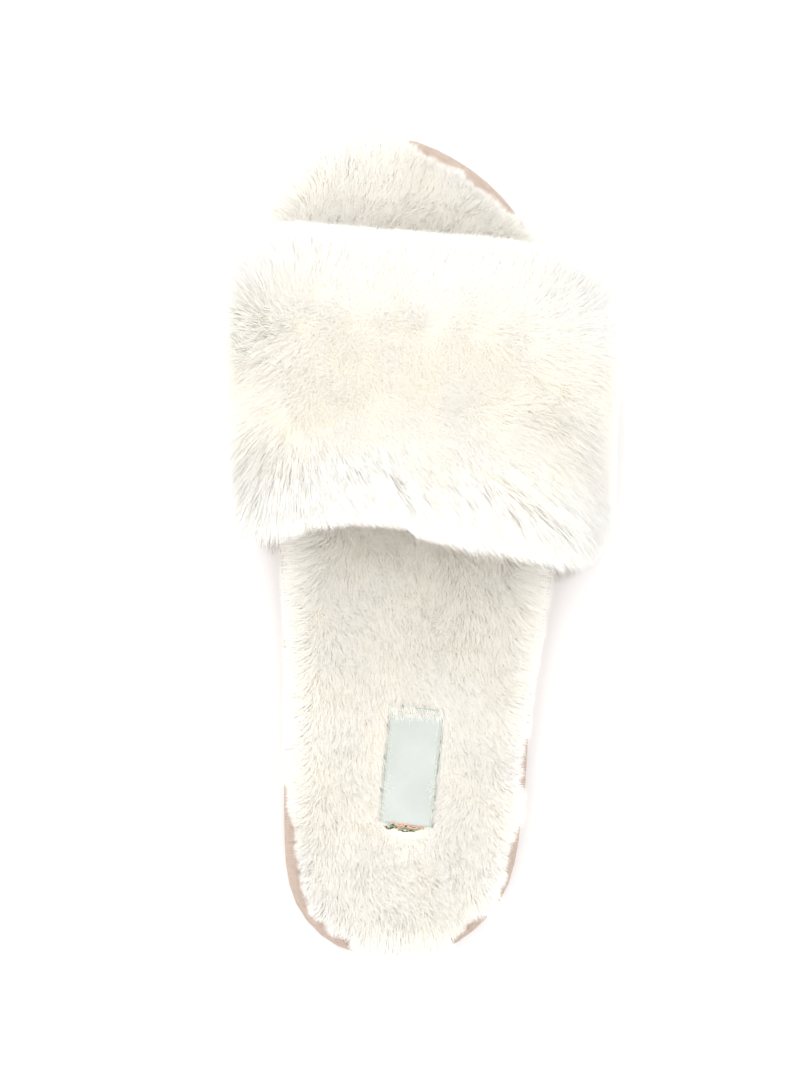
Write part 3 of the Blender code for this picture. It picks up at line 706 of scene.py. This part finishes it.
def edge_of_patch(points, patch):
    """Distance of each point from the open border of a patch, seen from above."""
    corners, triangles, _, _ = patch
    best = np.full(len(points), np.inf)
    for first, second in open_edges(triangles):
        start, step = corners[first, :2], corners[second, :2] - corners[first, :2]
        share = np.clip(((points[:, :2] - start) @ step) / max(step @ step, 1e-12), 0, 1)
        best = np.minimum(best, np.linalg.norm(points[:, :2] - start - share[:, None] * step, axis=1))
    return best


def on_label(xy):
    """Place in the label's own frame: right and forward, in metres."""
    offset = xy - LABEL_CENTRE
    return offset @ LABEL_RIGHT, offset @ LABEL_AHEAD


def make_footbed_pile(material, rim):
    rng = np.random.default_rng(12)
    patch = surface("footbed_shearling", lambda centre, normal: normal[:, 2] < -0.05)
    root, _ = scatter(patch, FOOTBED_DENSITY, rng)
    right, ahead = on_label(root[:, :2])
    outside = np.maximum(np.abs(right) - LABEL_HALF[0], np.abs(ahead) - LABEL_HALF[1])
    hollow = np.hypot(right / (7.2 * MM), (ahead + LABEL_HALF[1] + 1.2 * MM) / (2.3 * MM)) < 1
    root = root[(outside > -0.6 * MM) & ~hollow]
    right, ahead = on_label(root[:, :2])
    outside = np.maximum(np.abs(right) - LABEL_HALF[0], np.abs(ahead) - LABEL_HALF[1])
    x, y = root[:, 0], root[:, 1]
    root[:, 2] = np.interp(y, *low_height()) + SKIN
    count = len(root)
    depth, out, nearest = from_rim(root[:, :2], rim)
    bare = np.zeros(count)
    for px, py, reach, amount in BARE_PLACES:
        away = np.hypot(nearest[:, 0] - px * MM, nearest[:, 1] - py * MM) / MM
        bare = np.maximum(bare, amount * (1 - smooth(away, 0.5 * reach, 1.2 * reach)))
    bare = np.clip(bare + 0.35 * noise(x, y, 3 * MM, 31) * (bare > 0.05), 0, 1)
    border = edge_of_patch(root, patch)
    edge = np.maximum(1 - smooth(depth, 5.5 * MM, 12 * MM), smooth(border, 5 * MM, 0.5 * MM))
    bare = bare * edge
    gap = np.clip(depth - 5.2 * MM, 0, 8 * MM) * smooth(border, 4 * MM, 1.5 * MM)
    wander = np.stack((
        noise(x, y, 11 * MM, 33) + 0.8 * noise(x, y, 4 * MM, 34),
        noise(x, y, 11 * MM, 35) + 0.8 * noise(x, y, 4 * MM, 36) - 0.15,
    ), axis=1)
    steady = np.stack((0.2 + 0 * x, np.where(y > 60 * MM, 0.55, -0.55)), axis=1)
    flat = (steady + wander * 0.5) * column(1 - edge) + out * column(edge * (1 - 0.72 * bare))
    near_label = 1 - smooth(outside, 0.5 * MM, 5 * MM)
    beside = np.abs(right) - LABEL_HALF[0] > np.abs(ahead) - LABEL_HALF[1]
    inwards = np.where(
        beside[:, None], -column(np.sign(right)) * LABEL_RIGHT, -column(np.sign(ahead)) * LABEL_AHEAD
    )
    buried = smooth(ahead - LABEL_HALF[1], 4 * MM, 2 * MM) * (ahead > LABEL_HALF[1] - 0.6 * MM) * ~beside
    buried = buried * rng.uniform(0.2, 1, count)
    flat = flat + inwards * column(near_label * 0.45 + 1.2 * buried)
    strength = np.clip(np.linalg.norm(flat, axis=1), 0, 1.1)
    comb = np.zeros((count, 3))
    comb[:, :2] = unit(flat)
    normal = np.zeros((count, 3)) + UP
    normal[:, :2] += out * column(edge * 0.3 * (1 - bare))
    normal = unit(normal)
    comb = unit(comb - normal * column((comb * normal).sum(1)))
    swirl = rng.normal(0, 0.7, count) * (1 - 0.75 * edge)
    comb = unit(comb * column(np.cos(swirl)) + np.cross(normal, comb) * column(np.sin(swirl)))
    lean_root = 0.1 + 0.35 * strength * (1 - 0.6 * bare)
    lean_root = lean_root * (1 - 0.7 * buried)
    lean_tip = 0.9 + 0.3 * strength * (1 - bare) - 0.5 * bare + 0.45 * buried
    length = FOOTBED_LENGTH * (1 + 0.1 * noise(x, y, 8 * MM, 39)) * rng.uniform(0.78, 1.08, count)
    length = length * (1 - 0.28 * near_label * (1 - buried)) * (1 - 0.2 * bare) * (1 + 0.08 * buried)
    length = length * (1 + (0.32 + 0.2 * smooth(y, 85 * MM, 105 * MM)) * edge * (1 - bare)) + 1.1 * gap
    wild = rng.random(count) < 0.03
    pile = {
        "root": root, "normal": normal, "comb": comb, "length": length,
        "lean": (lean_root + rng.normal(0, 0.12, count), lean_tip + rng.normal(0, 0.18, count)),
        "droop": 0.4 * edge * (1 - bare),
        "frizz": np.where(wild, 1.2, 0.65) * MM,
        "u": x, "v": y, "seed": 200, "tufted": 1.0 - 0.4 * edge,
        "tufts": ((6 * MM, 0.16), (2.6 * MM, 0.3), (1.3 * MM, 0.24)),
        "width": STRAND_WIDTH * 0.95 * rng.uniform(0.75, 1.25, count),
        "own": 0.13 + 0.3 * edge,
    }
    curve = grow(pile, rng)
    for _ in range(2):
        past, way, _ = from_rim(curve[:, -1, :2], rim)
        far = 1.0 + 3.0 * smooth(y, 85 * MM, 105 * MM) + 0.7 * smooth(y, -95 * MM, -115 * MM)
        allowed = (far - (far + 2.6) * bare + rng.normal(0, 0.5, count) + 0.5 * noise(x, y, 3 * MM, 45)) * MM
        over = np.maximum(-past - allowed, 0)
        reach = np.maximum(((curve[:, -1, :2] - curve[:, 0, :2]) * way).sum(1), 1e-4)
        share = np.clip(1 - over / reach, 0.35, 1)
        curve[:] = curve[:, :1] + (curve - curve[:, :1]) * share[:, None, None]
    warmth = 0.58 - 0.4 * edge + 0.3 * noise(x, y, 14 * MM, 41) + rng.normal(0, 0.08, count)
    pile["hue"] = np.clip(warmth - 0.3 * near_label * (1 - buried), 0.02, 0.98)
    pile["light"] = np.clip(0.86 + 0.08 * noise(x, y, 4 * MM, 43) + rng.normal(0, 0.08, count), 0.3, 1)
    names = (
        "footbed_pile_heel", "footbed_pile_seat", "footbed_pile_arch",
        "footbed_pile_waist", "footbed_pile_ball", "footbed_pile_toe",
    )
    pile_pieces(names, pile, curve, even_bands(y, len(names)), rng, "footbed_pile", "footbed_shearling", material)


def make_lining_pile(material):
    rng = np.random.default_rng(13)
    patch = surface("strap_lining", lambda centre, normal: (outward(centre) * normal).sum(1) < -0.3)
    root, normal = scatter(patch, LINING_DENSITY, rng)
    root = root - normal * 0.8 * MM
    s = arc_length(root)
    y = root[:, 1]
    count = len(root)
    across, forward = tangents(normal)
    turn = noise(s, y, 10 * MM, 51) * 4
    comb = across * column(np.cos(turn)) + forward * column(np.sin(turn))
    pile = {
        "root": root, "normal": normal, "comb": comb,
        "length": LINING_LENGTH * rng.uniform(0.75, 1.1, count),
        "lean": (0.3 + rng.normal(0, 0.1, count), 0.9 + rng.normal(0, 0.2, count)),
        "droop": np.zeros(count), "frizz": np.full(count, 0.5 * MM),
        "u": s, "v": y, "seed": 300, "tufted": 1.0,
        "tufts": ((2.2 * MM, 0.4), (1.0 * MM, 0.3)),
        "width": 0.28 * MM * rng.uniform(0.75, 1.25, count),
        "own": np.full(count, 0.3),
        "hue": np.clip(0.55 + rng.normal(0, 0.12, count), 0.02, 0.98),
        "light": np.clip(0.8 + rng.normal(0, 0.12, count), 0.3, 1),
    }
    one = np.zeros(count, int)
    pile_pieces(("lining_fleece",), pile, grow(pile, rng), one, rng, "lining_fleece", "strap_lining", material)


# ---------------------------------------------------------------- skins below the pile


def copy_node(node, name, material):
    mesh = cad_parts[node].data.copy()
    mesh.name = name
    mesh.materials.clear()
    mesh.materials.append(material)
    return place(name, mesh)


def vertex_array(mesh):
    points = np.empty(len(mesh.vertices) * 3)
    mesh.vertices.foreach_get("co", points)
    return points.reshape(-1, 3)


def make_footbed_skin(material):
    """The footbed's backing with the matted foot of its pile: the CAD solid, pressed flat."""
    piece = copy_node("footbed_shearling", "footbed_skin", material)
    points = vertex_array(piece.data)
    low = np.interp(points[:, 1], *low_height())
    border = edge_of_patch(points, surface("footbed_shearling", lambda centre, normal: normal[:, 2] < -0.05))
    points[:, 2] = low + (points[:, 2] - low) * (0.14 + 0.3 * smooth(border, 0.5 * MM, 6 * MM))
    lumps = noise(points[:, 0], points[:, 1], 4 * MM, 61) * 0.15 * MM
    points[:, 2] += lumps * (points[:, 2] - low > 2 * MM)
    piece.data.vertices.foreach_set("co", points.ravel())
    piece.data.update()
    return finish_piece(piece, "footbed_pile", "footbed_shearling")


def make_strap_skin(material):
    """The strap's backing with the matted foot of its pile: the outer skin, from the lining's shape."""
    points, triangles, normals, _ = strap_patch()
    used = np.unique(triangles)
    lookup = np.zeros(len(points), int)
    lookup[used] = np.arange(len(used))
    inner = points[used] + normals[used] * LINING_TO_SKIN_LOW
    piece = place("strap_skin", mesh_of("strap_skin", inner.tolist(), lookup[triangles].tolist(), material))
    group = piece.vertex_groups.new(name="thick")
    share = smooth(edge_distance(inner, lookup[triangles]), 0, 9 * MM) * 0.75 + 0.25
    share = share * (0.82 + 0.18 * smooth(np.abs(arc_length(inner)), 30 * MM, 65 * MM))
    for index, weight in enumerate(share):
        group.add([index], float(weight), "REPLACE")
    shell = piece.modifiers.new("thickness", "SOLIDIFY")
    shell.thickness = STRAP_UNDERFUR
    shell.offset = 1.0
    shell.vertex_group = group.name
    piece.modifiers.new("rounder", "SUBSURF").levels = 1
    apply_modifiers(piece)
    return finish_piece(piece, "strap_pile", "strap_shearling")


# ---------------------------------------------------------------- wrap and label


def make_wrap(rim):
    """The woven strip round the platform, with its weave laid along the sole's edge."""
    paint = Paint("wrap_weave", 0.85, 0.2)
    piece = copy_node("sole_wrap", "wrap_fabric", paint.material)
    mesh = piece.data
    points = vertex_array(mesh)
    loop, _ = rim
    steps = np.linalg.norm(np.roll(loop, -1, axis=0) - loop, axis=1)
    starts = np.concatenate(((0,), np.cumsum(steps)))
    depth, _, nearest = from_rim(points[:, :2], rim)
    index = np.argmin(np.linalg.norm(nearest[:, None, :] - loop[None, :, :], axis=2), axis=1)
    along = unit(np.roll(loop, -1, axis=0) - np.roll(loop, 1, axis=0))
    run = starts[index] + ((nearest - loop[index]) * along[index]).sum(1)
    height = points[:, 2] + depth * np.sign(points[:, 2] - 15 * MM)
    corner = np.empty(len(mesh.loops), np.int32)
    mesh.loops.foreach_get("vertex_index", corner)
    total = starts[-1]
    cloth = np.stack((run[corner], height[corner]), axis=1)
    for polygon in mesh.polygons:
        span = slice(polygon.loop_start, polygon.loop_start + polygon.loop_total)
        values = cloth[span, 0]
        if values.max() - values.min() > total / 2:
            values[values < total / 2] += total
    for layer in list(mesh.uv_layers):
        mesh.uv_layers.remove(layer)
    baked = (cloth - cloth.min(0)) / (cloth.max(0) - cloth.min(0)) * 0.98 + 0.01
    mesh.uv_layers.new(name=BAKE_UV).uv.foreach_set("vector", baked.astype(np.float32).ravel())
    mesh.uv_layers.new(name="cloth").uv.foreach_set("vector", (cloth / MM).astype(np.float32).ravel())
    weave(paint, "cloth", (0.50, 0.32, 0.24), (0.86, 0.73, 0.63), (0.11, 0.05, 0.035))
    finish_piece(piece, "wrap_fabric", "sole_wrap")


def weave(paint, layer, warp_colour, weft_colour, gap_colour):
    """Plain weave from a UV layer in millimetres: warp and weft cross over and under."""
    cloth, axes = paint.uv(layer)
    wobble = paint.node("ShaderNodeTexNoise", cloth, Scale=0.8)
    drift = paint.math("MULTIPLY", wobble.outputs["Fac"], 0.5)
    waves = []
    for axis in ("X", "Y"):
        turns = paint.math("MULTIPLY", paint.math("ADD", axes[axis], drift), 2 * math.pi / WEAVE_PITCH)
        waves.append(paint.math("SINE", turns))
    over = paint.math("MULTIPLY", waves[0], waves[1])
    ridge = paint.math("POWER", paint.math("ABSOLUTE", over), 0.6)
    streak = paint.node("ShaderNodeMapping", cloth, Scale=(0.7, 1.4, 1.0))
    slub = paint.node("ShaderNodeTexNoise", streak.outputs["Vector"], Scale=1.0, Detail=2.0)
    yarn = paint.mix(paint.ramp(over, -0.5, 0.5), warp_colour, weft_colour)
    faded = paint.mix(paint.ramp(slub.outputs["Fac"], 0.35, 0.7), yarn, weft_colour)
    paint.colour(paint.mix(paint.ramp(ridge, 0.05, 0.6), gap_colour, faded))
    paint.bump(ridge, 0.12 * MM)


def make_label():
    """A satin ribbon with green selvages, folded under at the heel end."""
    paint = Paint("label_satin", 0.34, 0.5)
    columns, rows, fold_rows = 24, 60, 14
    points = vertex_array(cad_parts["woven_label"].data)
    _, ahead = on_label(points[:, :2])
    base = np.polyfit(ahead, points[:, 2], 1)
    arc = math.pi * FOLD_RADIUS
    whole = 2 * LABEL_HALF[1] + arc + FOLD_LENGTH
    grid, cloth = [], []
    for row in range(rows + fold_rows + 1):
        if row <= rows:
            t = LABEL_HALF[1] - (2 * LABEL_HALF[1]) * row / rows
            drop = 0.0
            walked = LABEL_HALF[1] - t
        else:
            walked_on = (row - rows) / fold_rows * (arc + FOLD_LENGTH)
            walked = 2 * LABEL_HALF[1] + walked_on
            if walked_on < arc:
                angle = walked_on / FOLD_RADIUS
                t = -LABEL_HALF[1] - FOLD_RADIUS * math.sin(angle)
                drop = FOLD_RADIUS * (1 - math.cos(angle))
            else:
                t = -LABEL_HALF[1] + (walked_on - arc)
                drop = 2 * FOLD_RADIUS
        for col in range(columns + 1):
            r = (col / columns * 2 - 1) * LABEL_HALF[0]
            place_xy = LABEL_CENTRE + LABEL_RIGHT * r + LABEL_AHEAD * t
            crown = LABEL_CROWN * (1 - (r / LABEL_HALF[0]) ** 2)
            ripple = 0.22 * MM * math.sin(t / MM * 0.33 + r / MM * 0.16)
            z = base[0] * t + base[1] + 0.5 * MM + crown + ripple - drop
            grid.append((*place_xy, z))
            cloth.append((col / columns, walked / whole))
    width = columns + 1
    faces = [
        (row * width + col, row * width + col + 1, (row + 1) * width + col + 1, (row + 1) * width + col)
        for row in range(rows + fold_rows) for col in range(columns)
    ]
    mesh = mesh_of("label_ribbon", grid, faces, paint.material)
    cloth = np.array(cloth, np.float32)
    corner = np.empty(len(mesh.loops), np.int32)
    mesh.loops.foreach_get("vertex_index", corner)
    mesh.uv_layers.new(name=BAKE_UV).uv.foreach_set("vector", (cloth[corner] * 0.96 + 0.02).ravel())
    piece = place("label_ribbon", mesh)
    shell = piece.modifiers.new("thickness", "SOLIDIFY")
    shell.thickness = RIBBON_THICKNESS
    shell.offset = -1.0
    apply_modifiers(piece)
    _, axes = paint.uv(BAKE_UV)
    rib = paint.math("SINE", paint.math("MULTIPLY", axes["Y"], 780.0))
    warp = paint.math("SINE", paint.math("MULTIPLY", axes["X"], 420.0))
    rib = paint.math("MULTIPLY", paint.math("ADD", rib, warp), 0.5)
    off_centre = paint.math("ABSOLUTE", paint.math("SUBTRACT", axes["X"], 0.5))
    lines = []
    for place_in, half in ((0.432, 0.007), (0.462, 0.006)):
        lines.append(paint.math("COMPARE", off_centre, place_in))
        lines[-1].node.inputs[2].default_value = half
    line = paint.math("MULTIPLY", paint.math("MAXIMUM", *lines), 0.55)
    patches = paint.ramp(paint.noise(90.0, 2.0), 0.35, 0.65)
    ground = paint.mix(patches, (0.53, 0.565, 0.53), (0.62, 0.645, 0.62))
    threads = paint.mix(paint.ramp(rib, -1.0, 1.0), (0.50, 0.54, 0.50), ground)
    paint.colour(paint.mix(line, threads, (0.33, 0.47, 0.33)))
    paint.bump(rib, 0.03 * MM)
    finish_piece(piece, "label_ribbon", "woven_label")
    return base


def tube(points, radius, sides=8):
    """Vertices and faces of a closed round tube along points."""
    points = np.asarray(points, float)
    along = unit(np.gradient(points, axis=0))
    side = unit(np.cross(along, UP) + 1e-9)
    top = np.cross(side, along)
    angles = np.arange(sides) * 2 * math.pi / sides
    ends = np.ones(len(points))
    ends[0] = ends[-1] = 0.55
    rings = points[:, None] + radius * ends[:, None, None] * (
        side[:, None] * np.cos(angles)[None, :, None] + top[:, None] * np.sin(angles)[None, :, None]
    )
    faces = []
    for k in range(len(points) - 1):
        for a in range(sides):
            b = (a + 1) % sides
            faces.append((k * sides + a, k * sides + b, (k + 1) * sides + b, (k + 1) * sides + a))
    faces.append(tuple(range(sides))[::-1])
    faces.append(tuple((len(points) - 1) * sides + a for a in range(sides)))
    return rings.reshape(-1, 3), faces


def make_label_stitches(base):
    """The tangle of small coloured threads that holds the ribbon's heel end; its near-black threads are painted
    shadow in the hollow there.
    """
    colours = {
        key: thread_material(f"stitch_{key}", light, dark, 0.25 * MM)
        for key, light, dark in LABEL_THREAD_COLOURS
    }
    rng = np.random.default_rng(15)
    batches = {key: ([], []) for key in colours}
    for key, beyond, first, last in LABEL_THREADS:
        phase = rng.uniform(0, 2 * math.pi, 2)
        points = []
        for r in np.linspace(first, last, 3 + int(3 * (last - first))):
            past = beyond + 0.3 * math.sin(1.7 * r + phase[0])
            t = -LABEL_HALF[1] - past * MM
            crown = LABEL_CROWN * (1 - (r * MM / LABEL_HALF[0]) ** 2)
            rise = 0.62 + 0.28 * math.sin(2.6 * r + phase[1]) - 0.55 * max(past, 0)
            xy = LABEL_CENTRE + LABEL_RIGHT * r * MM + LABEL_AHEAD * t
            points.append((*xy, base[0] * t + base[1] + crown + rise * MM))
        vertices, faces = tube(points, rng.uniform(0.2, 0.3) * MM)
        held, faces_held = batches[key]
        start = sum(len(v) for v in held)
        held.append(vertices)
        faces_held.extend(tuple(v + start for v in face) for face in faces)
    for key, (vertices, faces) in batches.items():
        mesh = mesh_of(f"label_stitch_{key}", np.concatenate(vertices).tolist(), faces, colours[key])
        shade_smooth(mesh)
        finish_piece(place(f"label_stitch_{key}", mesh), "seam_thread", "label_rear_stitching")


# ---------------------------------------------------------------- carried-over nodes


def dress(material, *nodes):
    for node in nodes:
        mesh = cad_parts[node].data
        mesh.materials.clear()
        mesh.materials.append(material)


def dress_nodes():
    dress(mottled(
        "rubber_moulded", (0.40, 0.28, 0.20), (0.29, 0.195, 0.14), 60.0, 0.62, 2600.0, 0.05 * MM
    ), "outsole")
    dress(mottled(
        "felt_filler", (0.42, 0.36, 0.30), (0.26, 0.21, 0.17), 300.0, 0.95, 1800.0, 0.15 * MM, 0.1, (1, 0.3, 1)
    ), "bottom_filler")
    dress(mottled(
        "foam_moulded", (0.86, 0.83, 0.76), (0.76, 0.72, 0.64), 120.0, 0.85, 1500.0, 0.1 * MM, 0.2
    ), "midsole")
    dress(mottled(
        "fibreboard", (0.50, 0.38, 0.27), (0.30, 0.22, 0.15), 220.0, 0.9, 1600.0, 0.05 * MM, 0.15, (1, 0.4, 1)
    ), "insole_board")
    dress(mottled(
        "foam_cushion", (0.90, 0.86, 0.74), (0.80, 0.74, 0.60), 150.0, 0.92, 1100.0, 0.2 * MM, 0.1
    ), "cushion_foam", "strap_interlining")
    dress(
        thread_material("thread_cream", (0.78, 0.68, 0.56), (0.52, 0.42, 0.32), 0.4 * MM),
        "rim_stitching", "wrap_seam_stitching", "strap_front_stitching", "strap_rear_stitching",
        "strap_inner_side_stitching", "strap_outer_side_stitching", "label_front_stitching",
    )


# ---------------------------------------------------------------- stage


def area_light(name, location, size, power):
    light = bpy.data.lights.new(name, "AREA")
    light.shape = "SQUARE"
    light.size = size
    light.energy = power
    lamp = bpy.data.objects.new(name, light)
    bpy.context.scene.collection.objects.link(lamp)
    lamp.location = location
    direction = Vector((0, 0, 30 * MM)) - lamp.location
    lamp.rotation_euler = direction.to_track_quat("-Z", "Y").to_euler()


def make_stage():
    scene = bpy.context.scene
    scene.view_settings.view_transform = "Standard"
    scene.cycles.diffuse_bounces = 12  # light carries on through pale pile
    paint = Paint("floor_pale", 0.9, 0.1)
    paint.colour(paint.mix(paint.noise(3.0, 2.0), (0.93, 0.93, 0.93), (0.95, 0.95, 0.95)))
    half = 6.0
    corners = [(-half, -half, 0), (half, -half, 0), (half, half, 0), (-half, half, 0)]
    floor = place("floor", mesh_of("floor", corners, [(0, 1, 2, 3)], paint.material))
    floor.location.z = -0.2 * MM
    world = bpy.data.worlds.new("studio")
    scene.world = world
    world.use_nodes = True
    background = world.node_tree.nodes["Background"]
    background.inputs["Color"].default_value = (1.0, 1.0, 1.0, 1.0)
    background.inputs["Strength"].default_value = 1.0
    area_light("key", (-0.35, 0.75, 1.1), 1.5, 6.5)
    area_light("overhead", (0.05, 0.0, 1.9), 1.4, 16.0)


def make_camera():
    data = bpy.data.cameras.new("camera")
    camera = bpy.data.objects.new("camera", data)
    bpy.context.scene.collection.objects.link(camera)
    data.sensor_fit = "VERTICAL"
    data.sensor_height = SENSOR_HEIGHT
    data.lens = SENSOR_HEIGHT * EYE_HEIGHT / FRAME_HEIGHT
    data.clip_start = 0.05
    camera.location = (*EYE, SOLE_PLANE + EYE_HEIGHT)
    camera.rotation_euler = (0, 0, 0)
    bpy.context.scene.camera = camera


def main():
    rim = sole_rim()
    # The root colours of the three piles are partly painted shade deep in the pile.
    cream = fur_material(
        # the cool colour, darker than the warm one, is painted shade on the strap's front, rear edge and sides
        "pile_long", (0.935, 0.925, 0.905), (0.98, 0.958, 0.885), (0.96, 0.94, 0.895), (0.97, 0.925, 0.80)
    )
    short = fur_material(
        "pile_short", (0.972, 0.966, 0.95), (0.975, 0.95, 0.875), (0.955, 0.93, 0.875), (0.965, 0.905, 0.765)
    )
    fleece = fur_material(
        "fleece_short", (0.90, 0.86, 0.79), (0.90, 0.80, 0.64), (0.72, 0.62, 0.50), (0.72, 0.58, 0.40)
    )
    underfur = mottled("pile_foot", (0.97, 0.94, 0.87), (0.94, 0.885, 0.77), 260.0, 0.95, 2400.0, 0.5 * MM, 0.1)
    make_strap_skin(underfur)
    make_footbed_skin(underfur)
    make_strap_pile(cream)
    make_footbed_pile(short, rim)
    make_lining_pile(fleece)
    make_strap_edges(cream)
    lining = copy_node("strap_lining", "lining_backing", underfur)
    finish_piece(lining, "lining_fleece", "strap_lining")
    make_wrap(rim)
    base = make_label()
    make_label_stitches(base)
    dress_nodes()
    make_stage()
    make_camera()


main()
